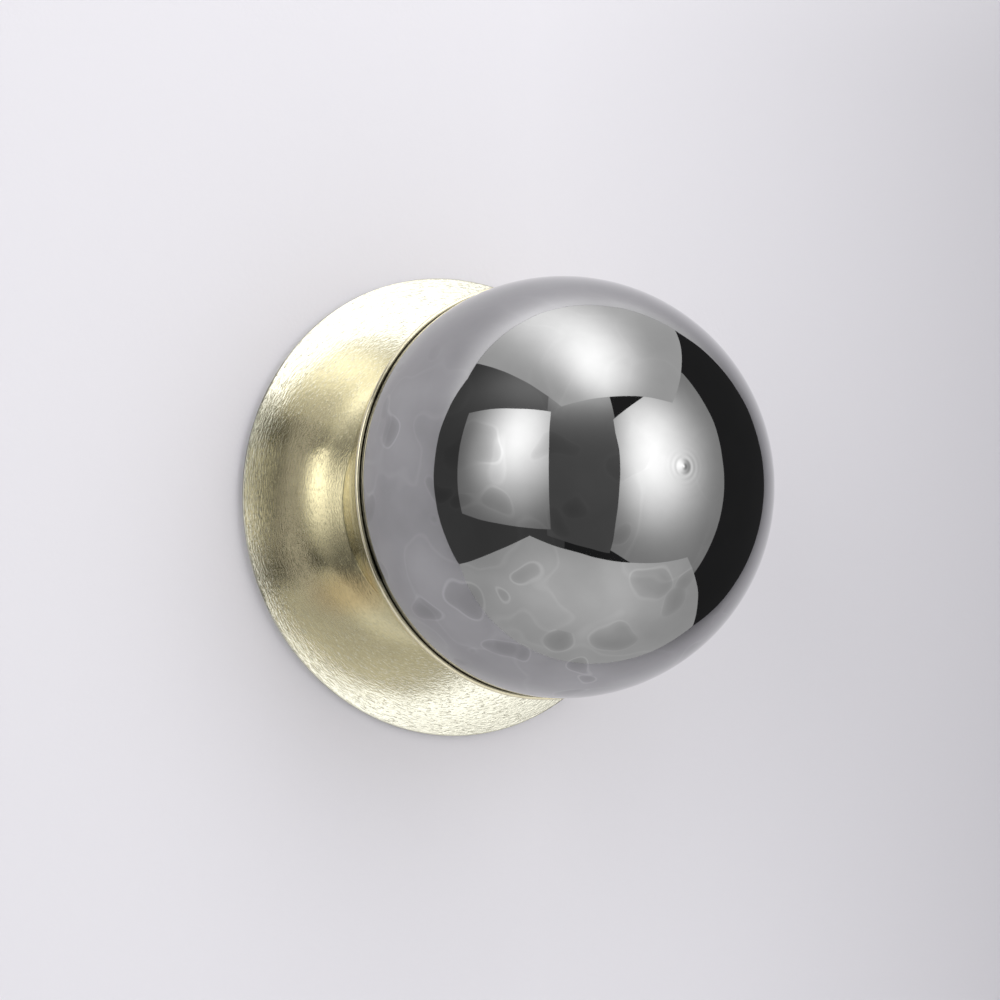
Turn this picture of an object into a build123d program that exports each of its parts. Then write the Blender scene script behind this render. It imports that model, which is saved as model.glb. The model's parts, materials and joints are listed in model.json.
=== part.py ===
from build123d import *
import math
import os

# Globe wall sconce: a spun brass plate and cup on the wall carry a round glass globe.
# Frame: origin on the lamp's axis in the plane of the wall, +Z up, the wall behind (+Y),
# the globe in front (-Y). Heights h below are distances in front of the wall: h = -y.
os.makedirs("parts", exist_ok=True)

# ---------------------------------------------------------------- driving dimensions, mm
SEAT = 0.05                 # play left between pieces that are clamped together
OVER = 1.0                  # cuts run this far past the face they open
THREAD_PLAY = 0.03          # a screw in its tapped hole

# backplate
PLATE_R = 72.2              # outer radius of the wall plate
PLATE_T = 0.8               # brass sheet
PLATE_FRONT_H = 3.0         # front face of the plate
PLATE_ROLL_R = 2.6          # rolled edge
PLATE_HOLE_MARGIN = 3.0     # rivet circle to the opening behind the cup
PLATE_LIFT = 0.3            # rolled edge stands this far off the wall

# glass globe
GLOBE_R = 59.7
GLASS_T = 2.2
PIP_R = 1.7                 # sealed-off tip at the front pole
PIP_RISE = 0.5
NECK_R = 31.5               # outside of the moulded neck
NECK_BORE_R = 28.5
NECK_END_H = 7.0            # back rim of the neck, in front of the wall
NECK_JOIN_H = 14.886        # where the ball runs into the neck
THREAD_PITCH = 4.0
THREAD_TURNS = 1.125
THREAD_START_H = 8.4
THREAD_RISE = 1.5
THREAD_BASE_W = 2.0
THREAD_TOP_W = 1.0
THREAD_ROOT = 0.3           # the ridge is one with the neck

# cup
CUP_T = 0.55                # spun sheet
CUP_GAP = 0.6               # air between cup and glass
CUP_FOOT_ROOM = 0.45        # chassis rim to the inside of the cup's foot
CUP_FOOT_BEND_R = 0.8
CUP_FLARE = 4.4             # the neck widens by this much up to the bowl
CUP_RIM_BACK_DEG = 9.0      # the rim stops this far behind the widest circle of the globe
CUP_BEAD_R = 0.75           # the rim is rolled outwards into a tight bead

# chassis plate that carries the lampholder
BASE_T = 1.2
BASE_STEP_ROOM = 0.6        # chassis step to the collar's bore
BASE_FACE_H = 6.6
HAT_R = 25.5
HAT_FLAT_Z = 20.3           # the drawn hat has a flat above and below, beside the screws
HAT_TOP_H = 22.0
HAT_EDGE_R = 2.0
FIX_HOLE_PLAY = 0.25
GROMMET_HOLE_R = 4.0

# threaded collar
COLLAR_T = 1.0
THREAD_ROOM = 0.6           # moulded ridge to the collar's bore
COLLAR_TOP_H = 15.0
COLLAR_LIP_W = 2.4
LUG_COUNT = 3
LUG_W = 5.0
LUG_T = 1.2
LUG_AIR = 0.35              # lug to the neck
LUG_FIRST_DEG = 20.0
LUG_ROOT = 0.3              # the lug is drawn out of the collar's wall
SEAL_T = 1.25
SEAL_OVERHANG = 0.4         # the silicone ring stands proud of the collar's lip
SEAL_AIR = 0.18             # before the globe is screwed tight

# wall bracket
BRACKET_T = 1.5
BRACKET_ARM_X = 43.0
BRACKET_ARM_W = 22.0
BRACKET_ARM_Z = 30.0
BRACKET_ARM_ZW = 16.0
BRACKET_DISC_R = 19.0
CABLE_HOLE_R = 10.0
SLOT_SPACING = 50.0
SLOT_HALF_W = 2.5
SLOT_LENGTH = 12.0
TAP_COLLAR_R = 3.3
TAP_COLLAR_H = 4.0
EARTH_COLLAR_H = 2.8
BRACKET_CORNER_R = 5.0

# foam gasket on the wall
GASKET_W = 4.5
GASKET_EDGE_GAP = 1.1       # foam to the start of the rolled edge

# fasteners
FIX_Z = 24.2                # two screws above and below the hat
FIX_R = 2.0
FIX_LEN = 6.0
FIX_HEAD_R = 3.4
FIX_HEAD_T = 2.4
WASHER_R = 3.9
WASHER_T = 0.8
RIVET_ROOM = 0.4            # rivet head to the collar
RIVET_R = 1.2
RIVET_HEAD_R = 2.0
RIVET_HEAD_T = 0.9
RIVET_ROLL_T = 0.6          # rolled-over end behind the plate
RIVET_BORE_R = 0.6
RIVET_BORE_L = 2.0
EARTH_R = 14.5              # distance of the earth screw from the axis
EARTH_DEG = 225.0
EARTH_HEAD_R = 3.2
EARTH_HEAD_T = 2.2
EARTH_TIP_H = 0.4
EARTH_WASHER_T = 0.6
TAG_T = 0.8
TAG_R = 3.4
TAG_TONGUE_L = 6.6
TAG_TONGUE_W = 2.8

# lampholder
HOLDER_R = 11.5
HOLDER_LEN = 14.0
HOLDER_RECESS_X = 12.4
HOLDER_RECESS_Z = 5.6
HOLDER_FLOOR = 5.0          # thickness of the body behind the recess
HOLDER_EDGE_R = 1.0
HOLDER_SCREW_Z = 8.2
HOLDER_SCREW_R = 1.5
HOLDER_SCREW_LEN = 8.0
HOLDER_SCREW_SEAT = 6.0     # depth of the body under the screw heads
HOLDER_HEAD_R = 2.7
HOLDER_HEAD_T = 1.9
HOLDER_SINK_R = 3.0
POCKET_X = 12.4
POCKET_Z = 5.2
POCKET_DEPTH = 2.8          # space for the lead ends behind the contacts
PIN_X = 4.5                 # half the distance between the bulb's two pins
CLIP_X = 2.2                # width of a contact strip
CLIP_T = 0.4
CLIP_LEAF_T = 0.36
CLIP_LEAF_L = 5.0
CLIP_ROOM_X = 0.3
CLIP_ROOM_Z = 0.25
PIN_AIR = 0.1               # a contact leaf to the pin, unsprung

# bulb
BULB_R = 8.0
BULB_TONGUE_X = 11.8
BULB_TONGUE_Z = 5.0
BULB_TONGUE_H = 30.0
BULB_BODY_H = 38.0
BULB_ENV_H = 46.0
BULB_TOP_H = 74.0
BULB_GLASS_T = 0.8
BULB_TONGUE_EDGE_R = 1.2
BULB_DOME_R = 5.0
BULB_LAP = 2.4              # the cover reaches this far into the base
PIN_WIRE_R = 0.45
PIN_BEND_R = 1.05
PIN_DEEP = 1.5              # the wire reaches this far into the base
PIN_TIP_AIR = 0.15          # the wire to the bottom of its contact
CORE_W = 6.8
CORE_CORNER_R = 4.6
CORE_TOP_GAP = 5.0
LED_ROWS = 5
LED_L = 2.8
LED_W = 2.8
LED_T = 0.55
LED_MARGIN = 1.6

# terminal block
BLOCK_X0 = 6.8
BLOCK_LX = 14.5
BLOCK_LZ = 21.0
BLOCK_T = 12.6
BLOCK_EDGE_R = 1.0
POLE_PITCH = 7.0
TUBE_R = 2.25
TUBE_BORE_R = 1.3
TUBE_LEN = 11.5
TUBE_H = 5.2                # axis of the tubes in front of the block's back
TUBE_PLAY = 0.05
GRUB_INSET = 3.8
GRUB_R = 1.25
GRUB_DEEP = 0.6             # the grub screws' heads below the block's back
GRUB_TIP = 0.95             # the tips stop this far short of the tube's axis
GRUB_SLOT_W = 0.5
GRUB_SLOT_D = 0.7
GRUB_WELL_R = 1.7
BLOCK_NOTCH_D = 2.4
BLOCK_NOTCH_W = 1.0
BLOCK_SCREW_R = 1.25
BLOCK_SCREW_HEAD_R = 2.2
BLOCK_SCREW_HEAD_T = 1.55
BLOCK_SCREW_SINK = 2.2
BLOCK_SCREW_TIP = 1.5       # the tip stands proud of the hat
GROMMET_BORE_R = 3.0
GROMMET_FLANGE_R = 5.1
GROMMET_FLANGE_T = 0.95

# leads
LEAD_R = 0.9
LEAD_IN_TUBE = 3.0


# ---------------------------------------------------------------- helpers
def at(r, h, deg=0.0):
    """Point at radius r and height h in front of the wall, deg round from +X towards +Z."""
    a = math.radians(deg)
    return (r * math.cos(a), -h, r * math.sin(a))


def rounded(points):
    """Edges of a closed outline in the half plane; a third number rounds that corner."""
    pts = [(p[0], p[1], p[2] if len(p) > 2 else 0.0) for p in points]
    n = len(pts)
    ins, outs, mids = [], [], []
    for i in range(n):
        x, y, r = pts[i]
        if r <= 0:
            ins.append((x, y))
            outs.append((x, y))
            mids.append(None)
            continue
        ax, ay = pts[i - 1][0] - x, pts[i - 1][1] - y
        bx, by = pts[(i + 1) % n][0] - x, pts[(i + 1) % n][1] - y
        la, lb = math.hypot(ax, ay), math.hypot(bx, by)
        ax, ay, bx, by = ax / la, ay / la, bx / lb, by / lb
        half = math.acos(max(-1.0, min(1.0, ax * bx + ay * by))) / 2
        d = r / math.tan(half)
        sx, sy = ax + bx, ay + by
        sl = math.hypot(sx, sy)
        k = r / math.sin(half) - r
        ins.append((x + ax * d, y + ay * d))
        outs.append((x + bx * d, y + by * d))
        mids.append((x + sx / sl * k, y + sy / sl * k))
    edges = []
    for i in range(n):
        if mids[i]:
            edges.append(ThreePointArc(at(*ins[i]), at(*mids[i]), at(*outs[i])))
        j = (i + 1) % n
        if math.dist(outs[i], ins[j]) > 1e-6:
            edges.append(Line(at(*outs[i]), at(*ins[j])))
    return edges


def spin(edges):
    """Solid of revolution about the lamp's axis."""
    face = make_face(Curve() + edges)
    return revolve(face, axis=Axis.Y, revolution_arc=360)


def post(r, h0, h1, x=0.0, z=0.0):
    """Round bar along the lamp's axis from h0 to h1."""
    return Pos(x, -(h0 + h1) / 2, z) * Rot(90, 0, 0) * Cylinder(r, h1 - h0)


def block(x0, x1, h0, h1, z0, z1):
    return Pos((x0 + x1) / 2, -(h0 + h1) / 2, (z0 + z1) / 2) * Box(x1 - x0, h1 - h0, z1 - z0)


def ring(r_in, r_out, h0, h1, x=0.0, z=0.0):
    return post(r_out, h0, h1, x, z) - post(r_in, h0 - 1, h1 + 1, x, z)


def slot(x, z, half_w, length, h0, h1):
    """Obround bar whose long side runs along X."""
    s = (length - 2 * half_w) / 2
    body = block(x - s, x + s, h0, h1, z - half_w, z + half_w)
    return body + post(half_w, h0, h1, x - s, z) + post(half_w, h0, h1, x + s, z)


def pan_head(r, t, h, x=0.0, z=0.0):
    """Pan head standing on height h with a cross recess."""
    head = post(r, h, h + t, x, z)
    head = fillet(head.edges().filter_by(GeomType.CIRCLE).sort_by(Axis.Y)[0], t * 0.45)
    w, l, d = r * 0.26, r * 1.15, t * 0.55
    head -= block(x - l / 2, x + l / 2, h + t - d, h + t + 1, z - w / 2, z + w / 2)
    head -= block(x - w / 2, x + w / 2, h + t - d, h + t + 1, z - l / 2, z + l / 2)
    return head


def polar_points(radius, degs):
    return [(radius * math.cos(math.radians(d)), radius * math.sin(math.radians(d))) for d in degs]


def wire_lead(points, r):
    """Insulated lead along a smooth path."""
    path = Spline(*points)
    start = path @ 0
    profile = Plane(origin=start, z_dir=path % 0) * Circle(r)
    return sweep(profile, path=path)


def group(*solids):
    flat = []
    for s in solids:
        flat.extend(s.solids())
    return Compound(children=flat)


def save(shape, name):
    export_step(shape, f"parts/{name}.step")


# ---------------------------------------------------------------- stacked seats
plate_back_h = PLATE_FRONT_H - PLATE_T
cup_foot_h = PLATE_FRONT_H + SEAT
base_rim_h = cup_foot_h + CUP_T + SEAT
collar_foot_h = base_rim_h + BASE_T + SEAT
rivet_top_h = collar_foot_h + COLLAR_T + SEAT
GLOBE_H = NECK_JOIN_H + math.sqrt(GLOBE_R**2 - NECK_R**2)   # centre of the globe
COLLAR_BORE_R = NECK_R + THREAD_RISE + THREAD_ROOM
COLLAR_LIP_R = COLLAR_BORE_R + COLLAR_LIP_W
LUG_TIP_R = NECK_R + LUG_AIR
BASE_STEP_R = COLLAR_BORE_R - BASE_STEP_ROOM
RIVET_CIRCLE_R = COLLAR_BORE_R + COLLAR_T + RIVET_ROOM + RIVET_HEAD_R
BASE_RIM_R = RIVET_CIRCLE_R + RIVET_HEAD_R
CUP_FOOT_R = BASE_RIM_R + CUP_FOOT_ROOM + CUP_T
CUP_NECK_TOP_R = CUP_FOOT_R + CUP_FLARE
PLATE_HOLE_R = RIVET_CIRCLE_R - PLATE_HOLE_MARGIN
cup_out_r = GLOBE_R + CUP_GAP + CUP_T
cup_in_r = GLOBE_R + CUP_GAP
hat_in_top_h = HAT_TOP_H - BASE_T
rivet_degs = [45, 135, 225, 315]
earth_x, earth_z = polar_points(EARTH_R, [EARTH_DEG])[0]
gasket_out_r = PLATE_R - PLATE_ROLL_R - GASKET_EDGE_GAP
bracket_front_h = max(TAP_COLLAR_H, EARTH_COLLAR_H) + OVER

# ---------------------------------------------------------------- wall bracket
bracket = slot(0, 0, BRACKET_ARM_W / 2, 2 * BRACKET_ARM_X, 0, BRACKET_T)
bracket += block(-BRACKET_ARM_ZW / 2, BRACKET_ARM_ZW / 2, 0, BRACKET_T, -BRACKET_ARM_Z, BRACKET_ARM_Z)
bracket += post(BRACKET_DISC_R, 0, BRACKET_T)
for z in (-FIX_Z, FIX_Z):
    bracket += post(TAP_COLLAR_R, 0, TAP_COLLAR_H, 0, z)
bracket += post(TAP_COLLAR_R, 0, EARTH_COLLAR_H, earth_x, earth_z)
bracket -= post(CABLE_HOLE_R, -OVER, bracket_front_h)
for x in (-SLOT_SPACING / 2, SLOT_SPACING / 2):
    bracket -= slot(x, 0, SLOT_HALF_W, SLOT_LENGTH, -OVER, bracket_front_h)
for z in (-FIX_Z, FIX_Z):
    bracket -= post(FIX_R + THREAD_PLAY, -OVER, bracket_front_h, 0, z)
bracket -= post(FIX_R + THREAD_PLAY, -OVER, bracket_front_h, earth_x, earth_z)
corners = [
    e
    for e in bracket.edges().filter_by(Axis.Y)
    if abs(abs(e.center().Z) - BRACKET_ARM_Z) < 0.01
]
bracket = fillet(corners, BRACKET_CORNER_R)
save(bracket, "wall_bracket")

# foam gasket between the rolled edge and the wall
save(ring(gasket_out_r - GASKET_W, gasket_out_r, 0.0, plate_back_h - SEAT), "wall_gasket")

# ---------------------------------------------------------------- backplate
plate = spin(rounded([
    (PLATE_HOLE_R, PLATE_FRONT_H),
    (PLATE_R, PLATE_FRONT_H, PLATE_ROLL_R),
    (PLATE_R, PLATE_LIFT, PLATE_T * 0.375),
    (PLATE_R - PLATE_T, PLATE_LIFT, PLATE_T * 0.375),
    (PLATE_R - PLATE_T, plate_back_h, PLATE_ROLL_R - PLATE_T),
    (PLATE_HOLE_R, plate_back_h),
]))
for x, z in polar_points(RIVET_CIRCLE_R, rivet_degs):
    plate -= post(RIVET_R + SEAT, 0, rivet_top_h, x, z)
save(plate, "backplate")

# ---------------------------------------------------------------- cup
rim = math.radians(90 - CUP_RIM_BACK_DEG)


def bowl(radius, angle):
    """Point of the bowl, its angle measured from the back pole of the globe."""
    return (radius * math.sin(angle), GLOBE_H - radius * math.cos(angle))


a_out = math.asin(CUP_NECK_TOP_R / cup_out_r)
a_in = math.asin((CUP_NECK_TOP_R - CUP_T * 0.8) / cup_in_r)
neck_out_top = bowl(cup_out_r, a_out)
neck_in_top = bowl(cup_in_r, a_in)
bead_at = cup_in_r + CUP_BEAD_R
bead_back = math.acos((bead_at**2 + cup_out_r**2 - CUP_BEAD_R**2) / (2 * bead_at * cup_out_r))
bead_start = bowl(cup_out_r, rim - bead_back)
bead_r, bead_h = bowl(bead_at, rim)
bead_reach = CUP_BEAD_R / math.sqrt(2)
bead_front = (
    bead_r + bead_reach * (math.sin(rim) + math.cos(rim)),
    bead_h + bead_reach * (math.sin(rim) - math.cos(rim)),
)


def neck(foot_r, foot_h, top):
    """Neck of the cup: almost straight from the foot, flaring into the bowl."""
    span = top[1] - foot_h
    return Bezier(
        at(foot_r, foot_h),
        at(foot_r + 1.2, foot_h + span * 0.45),
        at(top[0] - 2.6, top[1] - span * 0.22),
        at(*top),
    )


foot_bend = CUP_FOOT_BEND_R
cup = spin([
    Line(at(PLATE_HOLE_R, cup_foot_h), at(CUP_FOOT_R - foot_bend, cup_foot_h)),
    ThreePointArc(
        at(CUP_FOOT_R - foot_bend, cup_foot_h),
        at(CUP_FOOT_R - foot_bend * 0.293, cup_foot_h + foot_bend * 0.293),
        at(CUP_FOOT_R, cup_foot_h + foot_bend),
    ),
    neck(CUP_FOOT_R, cup_foot_h + foot_bend, neck_out_top),
    ThreePointArc(at(*neck_out_top), at(*bowl(cup_out_r, (a_out + rim - bead_back) / 2)), at(*bead_start)),
    ThreePointArc(at(*bead_start), at(*bead_front), at(*bowl(cup_in_r, rim))),
    ThreePointArc(at(*bowl(cup_in_r, rim)), at(*bowl(cup_in_r, (a_in + rim) / 2)), at(*neck_in_top)),
    neck(CUP_FOOT_R - CUP_T, cup_foot_h + foot_bend, neck_in_top),
    ThreePointArc(
        at(CUP_FOOT_R - CUP_T, cup_foot_h + foot_bend),
        at(CUP_FOOT_R - CUP_T - 0.08, cup_foot_h + CUP_T + 0.08),
        at(CUP_FOOT_R - foot_bend, cup_foot_h + CUP_T),
    ),
    Line(at(CUP_FOOT_R - foot_bend, cup_foot_h + CUP_T), at(PLATE_HOLE_R, cup_foot_h + CUP_T)),
    Line(at(PLATE_HOLE_R, cup_foot_h + CUP_T), at(PLATE_HOLE_R, cup_foot_h)),
])
for x, z in polar_points(RIVET_CIRCLE_R, rivet_degs):
    cup -= post(RIVET_R + SEAT, 0, base_rim_h, x, z)
save(cup, "globe_cup")

# ---------------------------------------------------------------- chassis plate
def hat(r, flat_z, h0, h1):
    return post(r, h0, h1) & block(-r, r, h0, h1, -flat_z, flat_z)


base = post(BASE_RIM_R, base_rim_h, base_rim_h + BASE_T)
base += post(BASE_STEP_R, base_rim_h, BASE_FACE_H)
outer_hat = hat(HAT_R, HAT_FLAT_Z, BASE_FACE_H - BASE_T / 2, HAT_TOP_H)
top_edges = [e for e in outer_hat.edges() if abs(e.center().Y + HAT_TOP_H) < 0.01]
outer_hat = fillet(top_edges, HAT_EDGE_R)
base += outer_hat
base -= post(BASE_STEP_R - BASE_T, 0, BASE_FACE_H - BASE_T)
base -= hat(HAT_R - BASE_T, HAT_FLAT_Z - BASE_T, 0, hat_in_top_h)
base -= post(GROMMET_HOLE_R, hat_in_top_h - OVER, HAT_TOP_H + OVER)
for z in (-FIX_Z, FIX_Z):
    base -= post(FIX_R + FIX_HOLE_PLAY, 0, BASE_FACE_H + OVER, 0, z)
for z in (-HOLDER_SCREW_Z, HOLDER_SCREW_Z):
    base -= post(HOLDER_SCREW_R + THREAD_PLAY, hat_in_top_h - OVER, HAT_TOP_H + OVER, 0, z)
for x, z in polar_points(RIVET_CIRCLE_R, rivet_degs):
    base -= post(RIVET_R + SEAT, 0, rivet_top_h, x, z)
block_screw_x, block_screw_z = BLOCK_X0 + BLOCK_LX / 2, POLE_PITCH / 2
base -= post(
    BLOCK_SCREW_R + THREAD_PLAY, hat_in_top_h - OVER, HAT_TOP_H + OVER, block_screw_x, block_screw_z
)
save(base, "lamp_base")

# ---------------------------------------------------------------- collar with three lugs
collar = spin(rounded([
    (COLLAR_BORE_R, collar_foot_h),
    (BASE_RIM_R, collar_foot_h),
    (BASE_RIM_R, collar_foot_h + COLLAR_T),
    (COLLAR_BORE_R + COLLAR_T, collar_foot_h + COLLAR_T, 0.4),
    (COLLAR_BORE_R + COLLAR_T, COLLAR_TOP_H - COLLAR_T, 0.4),
    (COLLAR_LIP_R, COLLAR_TOP_H - COLLAR_T),
    (COLLAR_LIP_R, COLLAR_TOP_H, 0.4),
    (COLLAR_BORE_R, COLLAR_TOP_H, 0.6),
]))
for i in range(LUG_COUNT):
    deg = LUG_FIRST_DEG + 360 / LUG_COUNT * i
    h = THREAD_START_H + THREAD_PITCH / 2 + THREAD_PITCH * deg / 360
    lug = block(
        LUG_TIP_R, COLLAR_BORE_R + LUG_ROOT, h - LUG_T / 2, h + LUG_T / 2, -LUG_W / 2, LUG_W / 2
    )
    lug = fillet(lug.edges().filter_by(Axis.Y).sort_by(Axis.X)[0:2], LUG_W / 5)
    collar += Rot(0, -deg, 0) * lug
for x, z in polar_points(RIVET_CIRCLE_R, rivet_degs):
    collar -= post(RIVET_R + SEAT, 0, rivet_top_h, x, z)
save(collar, "globe_collar")

# ---------------------------------------------------------------- rivets and screws
rivets = []
for x, z in polar_points(RIVET_CIRCLE_R, rivet_degs):
    rivet_end_h = plate_back_h - SEAT - RIVET_ROLL_T
    rivet = post(RIVET_R, rivet_end_h, rivet_top_h + RIVET_HEAD_T / 2, x, z)
    rivet += post(RIVET_HEAD_R, rivet_top_h, rivet_top_h + RIVET_HEAD_T, x, z)
    rivet += post(RIVET_HEAD_R, rivet_end_h, plate_back_h - SEAT, x, z)
    rivet -= post(RIVET_BORE_R, rivet_end_h - OVER, rivet_end_h + RIVET_BORE_L, x, z)
    rivets.append(rivet)
save(group(*rivets), "base_rivets")

washer_h = BASE_FACE_H + SEAT
head_h = washer_h + WASHER_T + SEAT
washers, screws = [], []
for z in (-FIX_Z, FIX_Z):
    washers.append(ring(FIX_R + 2 * SEAT, WASHER_R, washer_h, washer_h + WASHER_T, 0, z))
    shank = post(FIX_R, head_h - FIX_LEN, head_h + FIX_HEAD_T / 4, 0, z)
    screws.append(pan_head(FIX_HEAD_R, FIX_HEAD_T, head_h, 0, z) + shank)
save(group(*washers), "fixing_washers")
save(group(*screws), "fixing_screws")

# ---------------------------------------------------------------- glass globe
inner_r = GLOBE_R - GLASS_T
neck_in_join_h = GLOBE_H - math.sqrt(inner_r**2 - NECK_BORE_R**2)
lip_r = (NECK_R - NECK_BORE_R) / 2
glass = spin([
    ThreePointArc(
        at(NECK_R, NECK_JOIN_H),
        at(GLOBE_R, GLOBE_H),
        at(0, GLOBE_H + GLOBE_R),
    ),
    Line(at(0, GLOBE_H + GLOBE_R), at(0, GLOBE_H + inner_r)),
    ThreePointArc(
        at(0, GLOBE_H + inner_r),
        at(inner_r, GLOBE_H),
        at(NECK_BORE_R, neck_in_join_h),
    ),
    Line(at(NECK_BORE_R, neck_in_join_h), at(NECK_BORE_R, NECK_END_H + lip_r)),
    ThreePointArc(
        at(NECK_BORE_R, NECK_END_H + lip_r),
        at(NECK_BORE_R + lip_r, NECK_END_H),
        at(NECK_R, NECK_END_H + lip_r),
    ),
    Line(at(NECK_R, NECK_END_H + lip_r), at(NECK_R, NECK_JOIN_H)),
])
# sealed-off tip: a shallow drop of glass on the front pole
pip_ball = (PIP_R**2 + PIP_RISE**2) / (2 * PIP_RISE)
pole_drop = GLOBE_R - math.sqrt(GLOBE_R**2 - PIP_R**2)
pip = Pos(0, -(GLOBE_H + GLOBE_R - pole_drop + PIP_RISE - pip_ball), 0) * Sphere(pip_ball)
pip &= post(PIP_R, GLOBE_H + GLOBE_R - GLASS_T / 2, GLOBE_H + GLOBE_R + 2 * PIP_RISE)
glass += pip

# moulded thread, right-handed
helix = Helix(
    pitch=THREAD_PITCH,
    height=THREAD_PITCH * THREAD_TURNS,
    radius=NECK_R,
    center=(0, -THREAD_START_H, 0),
    direction=(0, -1, 0),
)
begin = helix @ 0
out = Vector(begin.X, 0, begin.Z).normalized()
section = Plane(origin=begin, x_dir=out, z_dir=Vector(0, -1, 0).cross(out)) * make_face(Polyline(
    (-THREAD_ROOT, -THREAD_BASE_W / 2),
    (0, -THREAD_BASE_W / 2),
    (THREAD_RISE, -THREAD_TOP_W / 2),
    (THREAD_RISE, THREAD_TOP_W / 2),
    (0, THREAD_BASE_W / 2),
    (-THREAD_ROOT, THREAD_BASE_W / 2),
    close=True,
))
ridge = sweep(section, path=helix, is_frenet=True)
start_deg = math.degrees(math.atan2(begin.Z, begin.X))
ridge = Rot(0, start_deg, 0) * ridge
glass += ridge
save(glass, "glass_globe")

# silicone ring between the collar and the shoulder of the glass
seal_h = COLLAR_TOP_H + SEAT
seal_top_h = seal_h + SEAL_T
seal_in_r = math.sqrt(GLOBE_R**2 - (GLOBE_H - seal_top_h) ** 2) + SEAL_AIR
save(ring(seal_in_r, COLLAR_LIP_R + SEAL_OVERHANG, seal_h, seal_top_h), "globe_seal")

# ---------------------------------------------------------------- lampholder
holder_h = HAT_TOP_H + SEAT
holder_top_h = holder_h + HOLDER_LEN
floor_h = holder_h + HOLDER_FLOOR
holder = post(HOLDER_R, holder_h, holder_top_h)
holder = fillet(holder.edges().filter_by(GeomType.CIRCLE).sort_by(Axis.Y)[0], HOLDER_EDGE_R)
holder -= block(
    -HOLDER_RECESS_X / 2, HOLDER_RECESS_X / 2, floor_h, holder_top_h + OVER,
    -HOLDER_RECESS_Z / 2, HOLDER_RECESS_Z / 2,
)
holder -= block(
    -POCKET_X / 2, POCKET_X / 2, holder_h - OVER, holder_h + POCKET_DEPTH, -POCKET_Z / 2, POCKET_Z / 2
)
clip_room_x = CLIP_X / 2 + CLIP_ROOM_X
clip_half_z = PIN_BEND_R + PIN_WIRE_R + PIN_AIR + CLIP_LEAF_T
clip_room_z = clip_half_z + CLIP_ROOM_Z
for x in (-PIN_X, PIN_X):
    holder -= block(
        x - clip_room_x, x + clip_room_x, holder_h + POCKET_DEPTH / 2, floor_h + OVER,
        -clip_room_z, clip_room_z,
    )
for z in (-HOLDER_SCREW_Z, HOLDER_SCREW_Z):
    holder -= post(HOLDER_SCREW_R + 2 * SEAT, holder_h - OVER, holder_top_h + OVER, 0, z)
    holder -= post(HOLDER_SINK_R, holder_h + HOLDER_SCREW_SEAT, holder_top_h + OVER, 0, z)
save(holder, "lampholder_body")

holder_screws = []
for z in (-HOLDER_SCREW_Z, HOLDER_SCREW_Z):
    seat_h = holder_h + HOLDER_SCREW_SEAT + SEAT
    shank = post(HOLDER_SCREW_R, seat_h - HOLDER_SCREW_LEN, seat_h + HOLDER_HEAD_T / 4, 0, z)
    holder_screws.append(pan_head(HOLDER_HEAD_R, HOLDER_HEAD_T, seat_h, 0, z) + shank)
save(group(*holder_screws), "holder_screws")

# spring contacts: a folded strip round each pin
contact_h = holder_h + POCKET_DEPTH
contacts = []
for x in (-PIN_X, PIN_X):
    x0, x1 = x - CLIP_X / 2, x + CLIP_X / 2
    clip = block(x0, x1, contact_h, contact_h + CLIP_T, -clip_half_z, clip_half_z)
    clip += block(x0, x1, contact_h, contact_h + CLIP_LEAF_L, -clip_half_z, CLIP_LEAF_T - clip_half_z)
    clip += block(x0, x1, contact_h, contact_h + CLIP_LEAF_L, clip_half_z - CLIP_LEAF_T, clip_half_z)
    contacts.append(clip)
save(group(*contacts), "lampholder_contacts")

# ---------------------------------------------------------------- bulb
tongue = block(
    -BULB_TONGUE_X / 2, BULB_TONGUE_X / 2, BULB_TONGUE_H, BULB_BODY_H + OVER,
    -BULB_TONGUE_Z / 2, BULB_TONGUE_Z / 2,
)
tongue = fillet(tongue.edges().filter_by(Axis.Y), BULB_TONGUE_EDGE_R)
bulb_base = tongue + post(BULB_R, BULB_BODY_H, BULB_ENV_H)
env_in_r = BULB_R - BULB_GLASS_T
env_h = BULB_ENV_H - BULB_LAP
bulb_base -= ring(env_in_r - 2 * SEAT, BULB_R + OVER, env_h - SEAT, BULB_ENV_H + OVER)

envelope = spin(rounded([
    (BULB_R, env_h),
    (BULB_R, BULB_TOP_H, BULB_DOME_R),
    (0, BULB_TOP_H),
    (0, BULB_TOP_H - BULB_GLASS_T),
    (env_in_r, BULB_TOP_H - BULB_GLASS_T, BULB_DOME_R - BULB_GLASS_T),
    (env_in_r, env_h),
]))
save(envelope, "bulb_envelope")

# each pin is a hairpin of wire whose round end stands over the bottom of its contact
bend_h = contact_h + CLIP_T + PIN_TIP_AIR + PIN_WIRE_R + PIN_BEND_R
deep_h = BULB_TONGUE_H + PIN_DEEP
pins = []
for x in (-PIN_X, PIN_X):
    top_a, low_a = (x, -deep_h, -PIN_BEND_R), (x, -bend_h, -PIN_BEND_R)
    top_b, low_b = (x, -deep_h, PIN_BEND_R), (x, -bend_h, PIN_BEND_R)
    turn = ThreePointArc(low_a, (x, -(bend_h - PIN_BEND_R), 0), low_b)
    wire = Wire([Line(top_a, low_a), turn, Line(low_b, top_b)])
    pins.append(sweep(Plane(origin=top_a, z_dir=(0, 1, 0)) * Circle(PIN_WIRE_R), path=wire))
for p in pins:
    bulb_base -= p
save(bulb_base, "bulb_base")
save(group(*pins), "bulb_pins")

core_h = BULB_ENV_H + SEAT
core_top_h = BULB_TOP_H - CORE_TOP_GAP
core = post(CORE_CORNER_R, core_h, core_top_h)
core &= block(-CORE_W / 2, CORE_W / 2, core_h, core_top_h, -CORE_W / 2, CORE_W / 2)
save(core, "bulb_core")

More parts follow.
